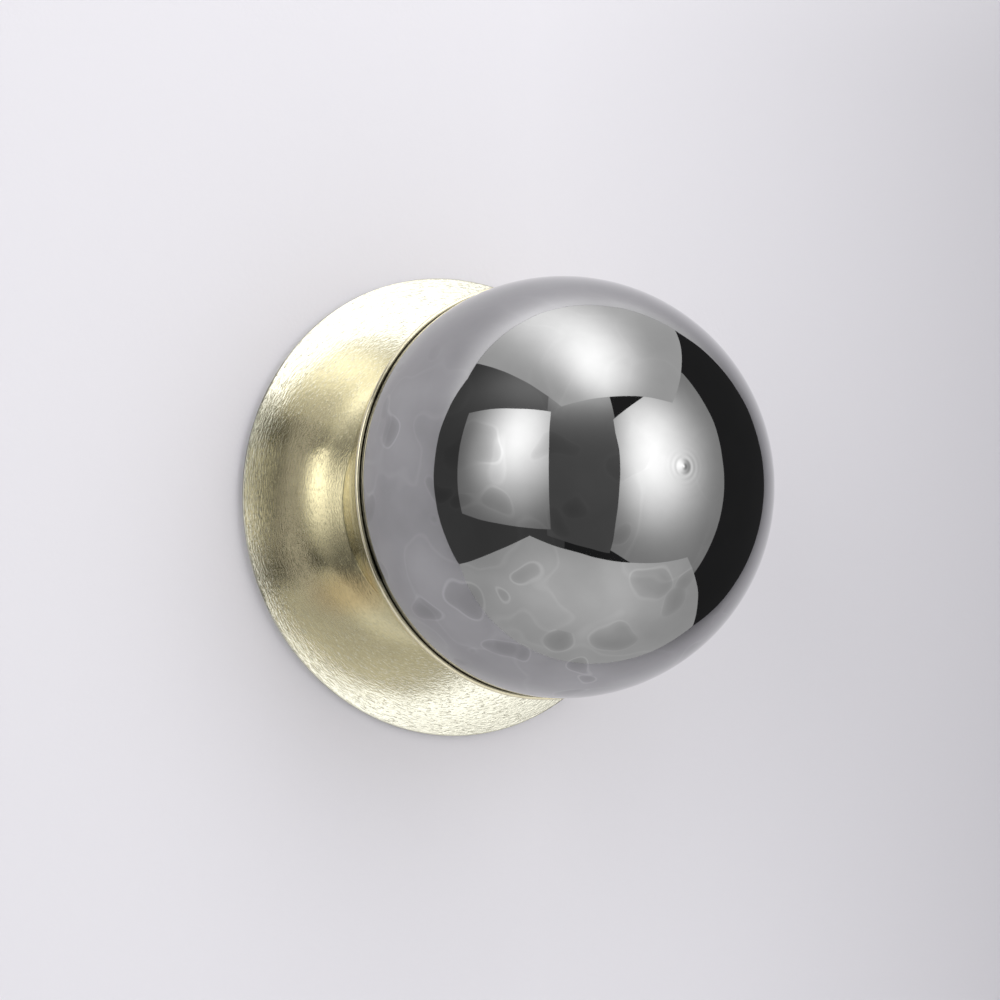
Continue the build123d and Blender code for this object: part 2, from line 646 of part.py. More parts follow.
led_pitch = (core_top_h - core_h - 2 * LED_MARGIN - LED_L) / (LED_ROWS - 1)
leds = []
for deg in (0, 90, 180, 270):
    for i in range(LED_ROWS):
        h = core_h + LED_MARGIN + i * led_pitch
        x0 = CORE_W / 2 + SEAT
        chip = block(x0, x0 + LED_T, h, h + LED_L, -LED_W / 2, LED_W / 2)
        leds.append(Rot(0, deg, 0) * chip)
save(group(*leds), "bulb_leds")

# ---------------------------------------------------------------- grommet in the hat
flange_h = hat_in_top_h - GROMMET_FLANGE_T - SEAT
grommet = ring(GROMMET_BORE_R, GROMMET_HOLE_R - SEAT, flange_h, HAT_TOP_H)
grommet += ring(GROMMET_BORE_R, GROMMET_FLANGE_R, flange_h, hat_in_top_h - SEAT)
save(grommet, "lead_grommet")

# ---------------------------------------------------------------- terminal block
block_top_h = hat_in_top_h - SEAT
block_h = block_top_h - BLOCK_T
tube_h = block_h + TUBE_H
poles = (-POLE_PITCH, 0.0, POLE_PITCH)
body = block(BLOCK_X0, BLOCK_X0 + BLOCK_LX, block_h, block_top_h, -BLOCK_LZ / 2, BLOCK_LZ / 2)
body = fillet(body.edges().filter_by(Axis.Y), BLOCK_EDGE_R)
grub_x = (BLOCK_X0 + GRUB_INSET, BLOCK_X0 + BLOCK_LX - GRUB_INSET)
block_mid_x = BLOCK_X0 + BLOCK_LX / 2
for z in poles:
    body -= Pos(block_mid_x, -tube_h, z) * Rot(0, 90, 0) * Cylinder(TUBE_R + TUBE_PLAY, BLOCK_LX + OVER)
    for x in grub_x:
        body -= post(GRUB_WELL_R, block_h - OVER, tube_h, x, z)
sink_h = block_h + BLOCK_SCREW_SINK
body -= post(BLOCK_SCREW_R + 2 * SEAT, 0, block_top_h + OVER, block_screw_x, block_screw_z)
body -= post(BLOCK_SCREW_HEAD_R + 3 * SEAT, 0, sink_h, block_screw_x, block_screw_z)
for z in (-POLE_PITCH / 2, POLE_PITCH / 2):
    for x in (BLOCK_X0 - OVER, BLOCK_X0 + BLOCK_LX - BLOCK_NOTCH_D):
        body -= block(
            x, x + OVER + BLOCK_NOTCH_D, block_h - OVER, block_top_h + OVER,
            z - BLOCK_NOTCH_W / 2, z + BLOCK_NOTCH_W / 2,
        )
save(body, "terminal_block")

tubes, terminal_screws = [], []
for z in poles:
    barrel = Cylinder(TUBE_R, TUBE_LEN) - Cylinder(TUBE_BORE_R, TUBE_LEN + OVER)
    tube = Pos(block_mid_x, -tube_h, z) * Rot(0, 90, 0) * barrel
    for x in grub_x:
        tube -= post(GRUB_R + THREAD_PLAY, tube_h - TUBE_R - OVER, tube_h, x, z)
        head_end_h = block_h + GRUB_DEEP
        grub = post(GRUB_R, head_end_h, tube_h - GRUB_TIP, x, z)
        grub -= block(
            x - GRUB_R - OVER, x + GRUB_R + OVER, head_end_h - OVER, head_end_h + GRUB_SLOT_D,
            z - GRUB_SLOT_W / 2, z + GRUB_SLOT_W / 2,
        )
        terminal_screws.append(grub)
    tubes.append(tube)
save(group(*tubes), "terminal_tubes")
save(group(*terminal_screws), "terminal_screws")

cap_h = sink_h - SEAT - BLOCK_SCREW_HEAD_T
long_screw = post(BLOCK_SCREW_R, cap_h, HAT_TOP_H + BLOCK_SCREW_TIP, block_screw_x, block_screw_z)
long_screw += post(BLOCK_SCREW_HEAD_R, cap_h, sink_h - SEAT, block_screw_x, block_screw_z)
long_screw -= block(
    block_screw_x - BLOCK_SCREW_HEAD_R - OVER, block_screw_x + BLOCK_SCREW_HEAD_R + OVER,
    cap_h - OVER, cap_h + GRUB_SLOT_D,
    block_screw_z - GRUB_SLOT_W / 2, block_screw_z + GRUB_SLOT_W / 2,
)
save(long_screw, "block_screw")

# ---------------------------------------------------------------- leads
lead_r = LEAD_R
tube_in_x = BLOCK_X0 + LEAD_IN_TUBE
tail_h = contact_h - lead_r - 2 * SEAT
save(wire_lead([
    (tube_in_x, -tube_h, -POLE_PITCH), (BLOCK_X0 - 0.4, -tube_h, -POLE_PITCH), (1.2, -16.4, -4.4),
    (-1.4, -19.6, -0.6), (-1.8, -22.0, 0.0), (-3.3, -tail_h + 0.15, 0.0), (-5.0, -tail_h, 0.0),
], lead_r), "live_lead")
save(wire_lead([
    (tube_in_x, -tube_h, POLE_PITCH), (BLOCK_X0 - 0.4, -tube_h, POLE_PITCH), (2.9, -16.4, 4.4),
    (1.4, -19.6, 0.6), (1.8, -22.0, 0.0), (3.3, -tail_h + 0.15, 0.0), (5.0, -tail_h, 0.0),
], lead_r), "neutral_lead")

earth_seat_h = EARTH_COLLAR_H + SEAT
tag_t = TAG_T
save(wire_lead([
    (tube_in_x, -tube_h, 0.0), (BLOCK_X0 - 0.4, -tube_h, 0.0), (-0.5, -9.5, -2.6),
    (-3.6, -5.0, -5.4), (earth_x + 4.1, -(earth_seat_h + tag_t + lead_r + 0.1), earth_z + 4.1),
], lead_r), "earth_lead")

tag = ring(FIX_R + 3 * SEAT, TAG_R, earth_seat_h, earth_seat_h + tag_t, earth_x, earth_z)
tongue_bar = block(
    0, TAG_TONGUE_L, earth_seat_h, earth_seat_h + tag_t, -TAG_TONGUE_W / 2, TAG_TONGUE_W / 2
)
tongue_bar -= post(TAG_R - tag_t / 2, earth_seat_h - OVER, earth_seat_h + tag_t + OVER)
tag += Pos(earth_x, 0, earth_z) * Rot(0, -45, 0) * tongue_bar
save(tag, "earth_tag")
earth_washer_h = earth_seat_h + tag_t + SEAT
earth_washer_top_h = earth_washer_h + EARTH_WASHER_T
save(ring(FIX_R + 2 * SEAT, EARTH_HEAD_R, earth_washer_h, earth_washer_top_h, earth_x, earth_z), "earth_washer")
earth_head_h = earth_washer_top_h + SEAT
earth_screw = pan_head(EARTH_HEAD_R, EARTH_HEAD_T, earth_head_h, earth_x, earth_z)
earth_screw += post(FIX_R, EARTH_TIP_H, earth_head_h + EARTH_HEAD_T / 4, earth_x, earth_z)
save(earth_screw, "earth_screw")
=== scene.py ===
import json
import math

import bmesh
import bpy
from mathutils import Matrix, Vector


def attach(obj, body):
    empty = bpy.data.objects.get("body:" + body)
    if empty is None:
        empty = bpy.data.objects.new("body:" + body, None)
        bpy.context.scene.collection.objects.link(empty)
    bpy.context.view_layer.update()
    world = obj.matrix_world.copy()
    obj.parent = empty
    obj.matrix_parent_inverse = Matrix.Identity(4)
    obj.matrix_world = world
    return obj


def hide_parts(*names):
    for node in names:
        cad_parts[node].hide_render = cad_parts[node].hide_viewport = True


# A wall light: a mirrored smoke glass globe in a spun brass cup on a round brass plate.
# The lamp's sizes are in millimetres: r is measured from its axis, which is Y, and h from
# the wall to the front. Shaders and the studio are in metres, as Blender is.
MM = 0.001
PER_METRE = 1.0 / MM
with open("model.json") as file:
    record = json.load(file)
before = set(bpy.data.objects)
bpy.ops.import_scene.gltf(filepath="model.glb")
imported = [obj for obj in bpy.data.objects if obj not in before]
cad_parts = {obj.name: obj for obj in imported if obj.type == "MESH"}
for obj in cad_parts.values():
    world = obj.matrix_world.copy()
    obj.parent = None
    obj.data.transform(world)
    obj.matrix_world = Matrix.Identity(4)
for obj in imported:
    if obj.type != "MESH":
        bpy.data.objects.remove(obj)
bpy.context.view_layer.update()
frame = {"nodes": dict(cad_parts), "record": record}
node_objects = frame["nodes"]

# wall plate, spun from sheet
PLATE_R = 72.2
PLATE_FRONT = 3.0
PLATE_BACK = 2.2
PLATE_HOLE_R = 34.0
PLATE_LIFT = 0.3  # the edge stays this far off the wall
PLATE_DISH = 0.5  # the face rises this much from the cup's foot to the edge
EDGE_FROM = 60.0  # from this radius the face also eases back to the wall
EDGE_DROP = 0.55  # by this much at the edge
EDGE_TUCK = 1.3  # the edge goes in by this much where it meets the wall
ROLL_R = 0.45  # tight bend of the edge

# glass globe with a neck behind and a sealed tip in front
GLOBE_R = 59.7
GLOBE_H = 65.6
GLOBE_CENTRE = Vector((0, -GLOBE_H * MM, 0))
GLOBE_SIDES = 300
GLASS_T = 2.2
NECK_R = 31.5
NECK_BORE = 28.5
NECK_END = 7.0
PIP_RISE = 0.3
PIP_WIDTH = 1.2
PIP_FIELD = 8.0  # the tip and its rings fade out within this radius
PIP_STEPS = 64
RING_RISE = 0.018
RING_STEP = 1.5
RING_REACH = 3.2

# moulded thread on the neck
THREAD_PITCH = 4.0
THREAD_TURNS = 1.125
THREAD_START = 8.4
THREAD_RISE = 1.5
THREAD_SINK = 0.3  # its root goes this deep into the neck
THREAD_ROOT = 1.0  # half its width at the neck
THREAD_CREST = 0.5  # half its width at the crest

# cup, spun from thin sheet: a foot, a neck and a bowl that ends in a rim rolled outwards
CUP_T = 0.55
CUP_GAP = 0.08
CUP_IN = GLOBE_R + CUP_GAP
CUP_OUT = CUP_IN + CUP_T
CUP_RIM = math.radians(81.0)  # counted from the globe's back; its widest ring is at 90
CUP_BEAD_R = 0.62
CUP_FOOT_R = 40.0
CUP_FOOT_H = 3.05
CUP_BEND_R = 0.8  # outside of the bend from foot to neck
CUP_NECK_TOP_R = 44.4
NECK_PULL_LOW = (1.2, 0.45)  # the neck's curve leaves the foot: out, and up by a share of it
NECK_PULL_HIGH = (2.6, 0.22)  # and comes to the bowl: in, and down by a share of it
NECK_SLANT = 0.8  # share of the sheet that counts outwards where the neck meets the bowl

HAIR = 0.02  # one stretch of an outline starts this far from the end of the last
SAME = 1e-4  # points nearer than this are one
TINY = 1e-9


# ------------------------------------------------------------------ node building
class Nodes:
    """Short hand for placing and joining shader nodes in one tree."""

    def __init__(self, tree):
        self.tree = tree

    def fill(self, socket, value):
        """Join another node's output to a socket, or give the socket a value of its own."""
        if isinstance(value, bpy.types.NodeSocket):
            self.tree.links.new(value, socket)
        elif socket.type == "RGBA" and len(value) == 3:
            socket.default_value = (*value, 1)
        else:
            socket.default_value = value

    def add(self, kind, inputs=None, **settings):
        node = self.tree.nodes.new(kind)
        for name, value in settings.items():
            setattr(node, name, value)
        for key, value in (inputs or {}).items():
            self.fill(node.inputs[key], value)
        return node

    def dress(self, node, **sockets):
        """Fill a node's sockets by name, with _ for each space in a name."""
        for label, value in sockets.items():
            self.fill(node.inputs[label.replace("_", " ")], value)

    def place(self):
        """Place on the object, in metres."""
        return self.add("ShaderNodeTexCoord").outputs["Object"]

    def split(self, vector):
        return self.add("ShaderNodeSeparateXYZ", {0: vector}).outputs

    def math(self, operation, a, b=0.0, c=0.0):
        return self.add("ShaderNodeMath", {0: a, 1: b, 2: c}, operation=operation).outputs[0]

    def vector(self, operation, a, b, result="Vector"):
        node = self.add("ShaderNodeVectorMath", {0: a, 1: b}, operation=operation)
        return node.outputs[result]

    def noise(self, vector, scale, detail, roughness=0.5):
        inputs = {"Vector": vector, "Scale": scale, "Detail": detail, "Roughness": roughness}
        return self.add("ShaderNodeTexNoise", inputs).outputs

    def bump(self, height, strength, distance):
        inputs = {"Strength": strength, "Distance": distance, "Height": height}
        return self.add("ShaderNodeBump", inputs).outputs[0]

    def ease(self, value, low, high, at_low=0.0, at_high=1.0):
        """Goes smoothly from one level to another while the value goes from low to high."""
        inputs = {"Value": value, "From Min": low, "From Max": high, "To Min": at_low, "To Max": at_high}
        return self.add("ShaderNodeMapRange", inputs, interpolation_type="SMOOTHSTEP").outputs[0]

    def ramp(self, factor, stops):
        node = self.add("ShaderNodeValToRGB", {0: factor})
        elements = node.color_ramp.elements
        while len(elements) < len(stops):
            elements.new(0.5)
        for element, (place, shade) in zip(elements, stops):
            element.position = place
            element.color = (shade, shade, shade, 1) if isinstance(shade, float) else (*shade, 1)
        return node.outputs[0]

    def mix(self, factor, a, b, blend="MIX"):
        inputs = {0: factor, 6: a, 7: b}
        return self.add("ShaderNodeMix", inputs, data_type="RGBA", blend_type=blend).outputs[2]


FLOAT, VECTOR = "NodeSocketFloat", "NodeSocketVector"


def group(name, inputs, outputs):
    """A node group with named sockets: its builder, what it is given and what it puts out."""
    tree = bpy.data.node_groups.new(name, "ShaderNodeTree")
    for label, kind, value in inputs:
        tree.interface.new_socket(label, in_out="INPUT", socket_type=kind).default_value = value
    for label, kind in outputs:
        tree.interface.new_socket(label, in_out="OUTPUT", socket_type=kind)
    build = Nodes(tree)
    return build, build.add("NodeGroupInput").outputs, build.add("NodeGroupOutput").inputs


def lathe_marks_group():
    """Fine hand-brushed marks round the lamp's axis, with soft patches and stray scratches."""
    b, given, put = group(
        "lathe marks",
        [("Marks per mm", FLOAT, 2.2), ("Length", FLOAT, 34.0), ("Strength", FLOAT, 0.1),
         ("Scratches", FLOAT, 0.3)],
        [("Marks", FLOAT), ("Patches", FLOAT), ("Normal", VECTOR)],
    )
    place = b.place()
    x, y, z = b.split(place)
    radius = b.math("SQRT", b.math("ADD", b.math("MULTIPLY", x, x), b.math("MULTIPLY", z, z)))
    never_zero = b.math("MAXIMUM", radius, 1e-4)
    cos_t = b.math("DIVIDE", x, never_zero)
    sin_t = b.math("DIVIDE", z, never_zero)
    along = b.math("MULTIPLY", b.math("SUBTRACT", radius, y), PER_METRE)

    def lanes(per_mm, length):
        """Place on the surface in lanes round the axis; a higher length gives shorter marks."""
        across = b.math("MULTIPLY", along, per_mm)
        around = (across, b.math("MULTIPLY", cos_t, length), b.math("MULTIPLY", sin_t, length))
        return b.add("ShaderNodeCombineXYZ", dict(enumerate(around))).outputs[0]

    per_mm, length = given["Marks per mm"], given["Length"]
    scratch_lanes = lanes(b.math("MULTIPLY", per_mm, 1.7), b.math("MULTIPLY", length, 0.8))
    marks = b.noise(lanes(per_mm, length), 1.0, 3.0, 0.6)["Fac"]
    patches = b.noise(place, 55.0, 3.0, 0.55)["Fac"]
    scratches = b.ramp(b.noise(scratch_lanes, 1.0, 1.0)["Fac"], [(0.62, 0.0), (0.70, 1.0)])
    deeper_at_edge = b.ease(radius, 0.060, 0.071, 1.0, 1.8)
    both = b.math("MULTIPLY_ADD", scratches, given["Scratches"], marks)
    height = b.math("MULTIPLY", both, deeper_at_edge)
    b.fill(put["Marks"], marks)
    b.fill(put["Patches"], patches)
    b.fill(put["Normal"], b.bump(height, given["Strength"], 0.00012))
    return b.tree


def surface_grain_group():
    """Fine grain and soft cloudiness for cast, moulded and plated surfaces."""
    b, given, put = group(
        "surface grain",
        [("Grain per mm", FLOAT, 3.0), ("Cloud per mm", FLOAT, 0.2), ("Strength", FLOAT, 0.2)],
        [("Grain", FLOAT), ("Cloud", FLOAT), ("Normal", VECTOR)],
    )
    place = b.place()
    grain = b.noise(place, b.math("MULTIPLY", given["Grain per mm"], PER_METRE), 3.0)["Fac"]
    cloud = b.noise(place, b.math("MULTIPLY", given["Cloud per mm"], PER_METRE), 2.0)["Fac"]
    b.fill(put["Grain"], grain)
    b.fill(put["Cloud"], cloud)
    b.fill(put["Normal"], b.bump(grain, given["Strength"], 0.0001))
    return b.tree


lathe_marks = lathe_marks_group()
surface_grain = surface_grain_group()


# ------------------------------------------------------------------ finishes
def material(name):
    made = bpy.data.materials.new(name)
    made.use_nodes = True
    return made, Nodes(made.node_tree), made.node_tree.nodes["Principled BSDF"]


def place_group(b, tree, **values):
    node = b.add("ShaderNodeGroup", node_tree=tree)
    b.dress(node, **values)
    return node.outputs


RAGGED = 0.3  # how far the patches push the rim of a spot of painted reflection, as a share of its reach


def painted_reflection_mask(b, place, centre, reach, patches):
    """Mask of one soft spot of painted reflection: 1 at its centre, 0 past its reach, with a ragged rim.
    """
    share = b.vector("DIVIDE", b.vector("SUBTRACT", place, centre), reach)
    away = b.vector("LENGTH", share, (0.0, 0.0, 0.0), "Value")
    uneven = b.math("MULTIPLY_ADD", patches, RAGGED, b.math("SUBTRACT", away, RAGGED / 2))
    return b.ease(uneven, 0.25, 1.1, 1.0, 0.0)


def brass_material(name, tone, strength, scratches, rough, painted_spots=()):
    """Bright pale brass with brushing marks, a few stray scratches and spots of painted reflection."""
    made, b, shader = material(name)
    marks = place_group(b, lathe_marks, Strength=strength, Scratches=scratches)
    colour = b.ramp(marks["Patches"], [(0.35, tuple(c * 0.93 for c in tone)), (0.65, tone)])
    place = b.place()
    # each spot mixes a painted reflection into the brass's colour
    for centre, reach, shade, most in painted_spots:
        mask = b.math("MULTIPLY", painted_reflection_mask(b, place, centre, reach, marks["Patches"]), most)
        colour = b.mix(mask, colour, shade)
    grooves = b.ramp(marks["Marks"], [(0.42, 0.0), (0.62, 0.28)])
    in_grooves = b.mix(1.0, colour, (0.72, 0.72, 0.70), "MULTIPLY")
    b.dress(
        shader,
        Base_Color=b.mix(grooves, colour, in_grooves),
        Roughness=b.math("MULTIPLY_ADD", marks["Marks"], 0.12, rough - 0.06),
        Normal=marks["Normal"],
        Metallic=1.0,
    )
    return made


def grained(name, tone, rough, shade, cloud_per_mm, grain, strength, unevenness):
    """Plain surface with a fine grain, and clouds where its tone falls to a shade of itself."""
    made, b, shader = material(name)
    skin = place_group(
        b, surface_grain, Grain_per_mm=grain, Cloud_per_mm=cloud_per_mm, Strength=strength
    )
    b.dress(
        shader,
        Base_Color=b.mix(skin["Cloud"], tuple(c * shade for c in tone), tone),
        Roughness=b.math("MULTIPLY_ADD", skin["Grain"], unevenness, rough),
        Normal=skin["Normal"],
    )
    return made, b, shader


def plain_metal(name, tone, rough):
    """Zinc plate or plain alloy with a cloudy, lightly grained surface."""
    made, b, shader = grained(
        name, tone, rough, shade=0.82, cloud_per_mm=0.25, grain=3.0, strength=0.15, unevenness=0.16
    )
    b.dress(shader, Metallic=1.0)
    return made


def moulded(name, tone, rough, grain=4.0, strength=0.12, shade=0.9, **sockets):
    """Moulded plastic, rubber or ceramic."""
    made, b, shader = grained(
        name, tone, rough, shade, cloud_per_mm=0.3, grain=grain, strength=strength, unevenness=0.12
    )
    b.dress(shader, **sockets)
    return made


def smoke_mirror_material():
    """Smoke glass mirrored on the inside: soft cells in the silver under a smooth outer skin."""
    made, b, shader = material("mirrored smoke glass")
    place = b.place()

    # cells with swaying outlines: each has a dull middle and a thin bright line round it
    sway = b.vector("SUBTRACT", b.noise(place, 60.0, 1.0)["Color"], (0.5, 0.5, 0.5))
    push = b.add("ShaderNodeVectorMath", {0: sway, "Scale": 0.022}, operation="SCALE").outputs[0]
    moved = b.vector("ADD", place, push)
    cells = b.add("ShaderNodeTexVoronoi", {"Vector": moved, "Scale": 74.0, "Randomness": 0.9}).outputs
    chance = b.add("ShaderNodeSeparateColor", {0: cells["Color"]}).outputs
    size = b.math("MULTIPLY_ADD", chance[1], 0.20, 0.30)
    outward = b.math("MULTIPLY", b.math("DIVIDE", cells["Distance"], size), 0.5)
    middle = b.ramp(outward, [(0.0, 0.76), (0.30, 0.82), (0.42, 0.90), (0.52, 1.0)])
    line = b.ramp(outward, [(0.44, 0.0), (0.475, 1.0), (0.49, 1.0), (0.54, 0.0)])

    # they show on the lower left of the globe only, and not all of them
    lean = b.vector("DOT_PRODUCT", place, (-0.5, 0.0, -0.6), "Value")
    lower_left = b.ease(lean, -0.004, 0.022)
    shown = b.math("MULTIPLY", b.math("GREATER_THAN", chance[0], 0.3), lower_left)
    dim = b.math("MULTIPLY_ADD", b.math("SUBTRACT", middle, 1.0), shown, 1.0)

    # cloudy smoke under a faint veil; the clouds also make the bright lines uneven
    clouds = b.noise(moved, 38.0, 1.0, 0.4)["Fac"]
    brighter = b.ramp(clouds, [(0.35, 0.03), (0.62, 0.22)])
    lit = b.math("MULTIPLY_ADD", b.math("MULTIPLY", line, shown), brighter, 1.0)
    cloudy = b.ramp(
        clouds, [(0.30, 0.285), (0.48, 0.315), (0.50, 0.345), (0.53, 0.320), (0.70, 0.350)]
    )
    how_cloudy = b.math("MULTIPLY_ADD", lower_left, 0.75, 0.25)
    smoke = b.mix(how_cloudy, (0.325, 0.325, 0.325), cloudy)
    veil = b.math("MULTIPLY_ADD", b.noise(place, 75.0, 3.0, 0.55)["Fac"], 0.24, 0.88)
    over = b.math("MULTIPLY", veil, b.math("MULTIPLY", lit, dim))

    waves = b.noise(moved, 30.0, 1.0, 0.3)["Fac"]
    b.dress(
        shader,
        Base_Color=b.mix(1.0, smoke, over, "MULTIPLY"),
        Normal=b.bump(waves, 1.0, 0.0002),
        Metallic=1.0,
        Roughness=0.025,
        Coat_Weight=0.12,
        Coat_Roughness=0.01,
        Coat_IOR=1.5,
    )
    return made


PLATE_BRASS = (0.66, 0.645, 0.545)
CUP_BRASS = (0.76, 0.70, 0.51)
# the plate's painted reflections, a painted dark reflection at its left and a painted warm reflection
# low by the cup: centre and reach of each, its shade and how much of it shows
PAINTED_REFLECTIONS = (
    ((-0.067, -0.0035, 0.012), (0.0105, 0.02, 0.028), (0.24, 0.235, 0.185), 0.85),
    ((-0.037, -0.0035, -0.028), (0.017, 0.02, 0.009), (0.64, 0.53, 0.36), 0.75),
)
finishes = {
    "brass": brass_material(
        "brushed brass plate", PLATE_BRASS, strength=0.38, scratches=0.7, rough=0.10, painted_spots=PAINTED_REFLECTIONS
    ),
    "smoke_glass": smoke_mirror_material(),
    "zinc_steel": plain_metal("zinc plated sheet", (0.66, 0.67, 0.68), 0.30),
    "rivet_steel": plain_metal("plated rivets", (0.70, 0.70, 0.70), 0.26),
    "screw_steel": plain_metal("zinc plated screws", (0.72, 0.71, 0.66), 0.24),
    "foam": moulded(
        "black foam", (0.035, 0.035, 0.038), 0.85, grain=2.0, strength=0.9, shade=0.5
    ),
    "silicone": moulded("silicone rubber", (0.72, 0.72, 0.70), 0.42),
    "ceramic": moulded("white ceramic", (0.86, 0.85, 0.81), 0.38, grain=5.0, strength=0.2),
    "contact_alloy": plain_metal("sprung copper alloy", (0.80, 0.60, 0.34), 0.25),
    "bulb_plastic": moulded("white bulb plastic", (0.88, 0.88, 0.87), 0.30),
    "bulb_cover": moulded(
        "frosted bulb cover", (0.93, 0.93, 0.90), 0.45, Transmission_Weight=0.7, IOR=1.45
    ),
    "pin_wire": plain_metal("nickel wire", (0.78, 0.78, 0.76), 0.18),
    "led_board": moulded("white coated board", (0.86, 0.86, 0.84), 0.40),
    "led_chip": moulded("yellow phosphor", (0.90, 0.72, 0.22), 0.35),
    "terminal_plastic": moulded(
        "natural nylon", (0.86, 0.86, 0.82), 0.42, Subsurface_Weight=0.1
    ),
    "live_sleeve": moulded("brown sleeve", (0.23, 0.10, 0.05), 0.40),
    "neutral_sleeve": moulded("blue sleeve", (0.06, 0.18, 0.48), 0.40),
    "earth_sleeve": moulded("green and yellow sleeve", (0.20, 0.45, 0.08), 0.40),
}
for entry in frame["record"]["subparts"]:
    node = node_objects[entry["node"]]
    finish = finishes[entry["material_slot"]]
    if not node.material_slots:
        node.data.materials.append(finish)
    for held in node.material_slots:
        held.material = finish


# ------------------------------------------------------------------ turned pieces
def at(r, h, turn=0.0):
    return Vector((r * MM * math.cos(turn), -h * MM, r * MM * math.sin(turn)))


def arc(centre, radius, start, stop, steps):
    """Points of an arc, its angles in degrees from outward towards the front."""
    points = []
    for i in range(steps + 1):
        a = math.radians(start + (stop - start) * i / steps)
        points.append((centre[0] + radius * math.cos(a), centre[1] + radius * math.sin(a)))
    return points


def straight(r0, h0, r1, h1, steps):
    return [(r0 + (r1 - r0) * i / steps, h0 + (h1 - h0) * i / steps) for i in range(steps + 1)]


def curve(p0, p1, p2, p3, steps):
    """Points of a curve from p0 to p3 that p1 and p2 pull."""
    points = []
    for i in range(steps + 1):
        t = i / steps
        points.append(tuple(
            (1 - t) ** 3 * a + 3 * (1 - t) ** 2 * t * b + 3 * (1 - t) * t * t * c + t**3 * d
            for a, b, c, d in zip(p0, p1, p2, p3)
        ))
    return points


def bowl(radius, angle):
    """A point on a ball round the globe's centre, its angle counted from the back."""
    return (radius * math.sin(angle), GLOBE_H - radius * math.cos(angle))


def bowl_arc(radius, start, stop, steps):
    """Points along a ball from one angle to another, without the first."""
    return [bowl(radius, start + (stop - start) * i / steps) for i in range(1, steps + 1)]


def in_scene(name, data, finish):
    """A new object with the mesh and its finish."""
    data.materials.append(finish)
    made = bpy.data.objects.new(name, data)
    bpy.context.scene.collection.objects.link(made)
    return made


def turned(name, outline, finish, body, sides=256):
    """Solid of revolution from a closed outline of (r, h) points."""
    clean = [outline[0]]
    for point in outline[1:]:
        if math.dist(point, clean[-1]) > SAME:
            clean.append(point)
    mesh = bmesh.new()
    rings = []
    for r, h in clean:
        if r < SAME:
            rings.append([mesh.verts.new(at(0, h))] * sides)
        else:
            rings.append([mesh.verts.new(at(r, h, 2 * math.pi * k / sides)) for k in range(sides)])
    for lower, upper in zip(rings, rings[1:] + rings[:1]):
        for k in range(sides):
            j = (k + 1) % sides
            corners = []
            for vert in (lower[k], lower[j], upper[j], upper[k]):
                if vert not in corners:
                    corners.append(vert)
            if len(corners) > 2:
                mesh.faces.new(corners)
    bmesh.ops.recalc_face_normals(mesh, faces=mesh.faces)
    for face in mesh.faces:
        face.smooth = True
    data = bpy.data.meshes.new(name)
    mesh.to_mesh(data)
    mesh.free()
    made = in_scene(name, data, finish)
    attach(made, body)
    return made


def face_height(r, lift):
    """Height of the plate's face: hardly dished, and eased back towards its edge."""
    rise = max(0.0, (r - CUP_FOOT_R) / (PLATE_R - CUP_FOOT_R))
    ease = max(0.0, (r - EDGE_FROM) / (PLATE_R - EDGE_FROM))
    return lift + PLATE_DISH * rise**2 - EDGE_DROP * ease**2


def plate_face(lift, r0, r1, steps):
    return [(r, face_height(r, lift)) for r in (r0 + (r1 - r0) * i / steps for i in range(steps + 1))]


def plate_outline():
    """Sheet with a hole behind the cup and a tight edge that tucks in to the wall."""
    sheet = PLATE_FRONT - PLATE_BACK
    edge_r = PLATE_R - ROLL_R
    edge_h = face_height(edge_r, PLATE_FRONT) - ROLL_R
    return (
        straight(PLATE_HOLE_R, PLATE_BACK, PLATE_HOLE_R, PLATE_FRONT, 2)
        + plate_face(PLATE_FRONT, PLATE_HOLE_R + HAIR, edge_r, 90)
        + arc((edge_r, edge_h), ROLL_R, 86, -20, 14)
        + [(PLATE_R - EDGE_TUCK, PLATE_LIFT), (PLATE_R - EDGE_TUCK - sheet, PLATE_LIFT)]
        + plate_face(PLATE_BACK, edge_r - sheet, PLATE_HOLE_R, 60)
    )


plate = turned("wall_plate", plate_outline(), finishes["brass"], "fixture")
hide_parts("backplate")


def cup_side(radius, foot_r, top_r, rim):
    """One face of the cup, from the bend at its foot up its neck and its bowl to the rim."""
    start = math.asin(top_r / radius)
    top = bowl(radius, start)
    foot_h = CUP_FOOT_H + CUP_BEND_R
    span = top[1] - foot_h
    low_out, low_up = NECK_PULL_LOW
    high_in, high_down = NECK_PULL_HIGH
    near_foot = (foot_r + low_out, foot_h + span * low_up)
    near_bowl = (top[0] - high_in, top[1] - span * high_down)
    return curve((foot_r, foot_h), near_foot, near_bowl, top, 40) + bowl_arc(radius, start, rim, 80)


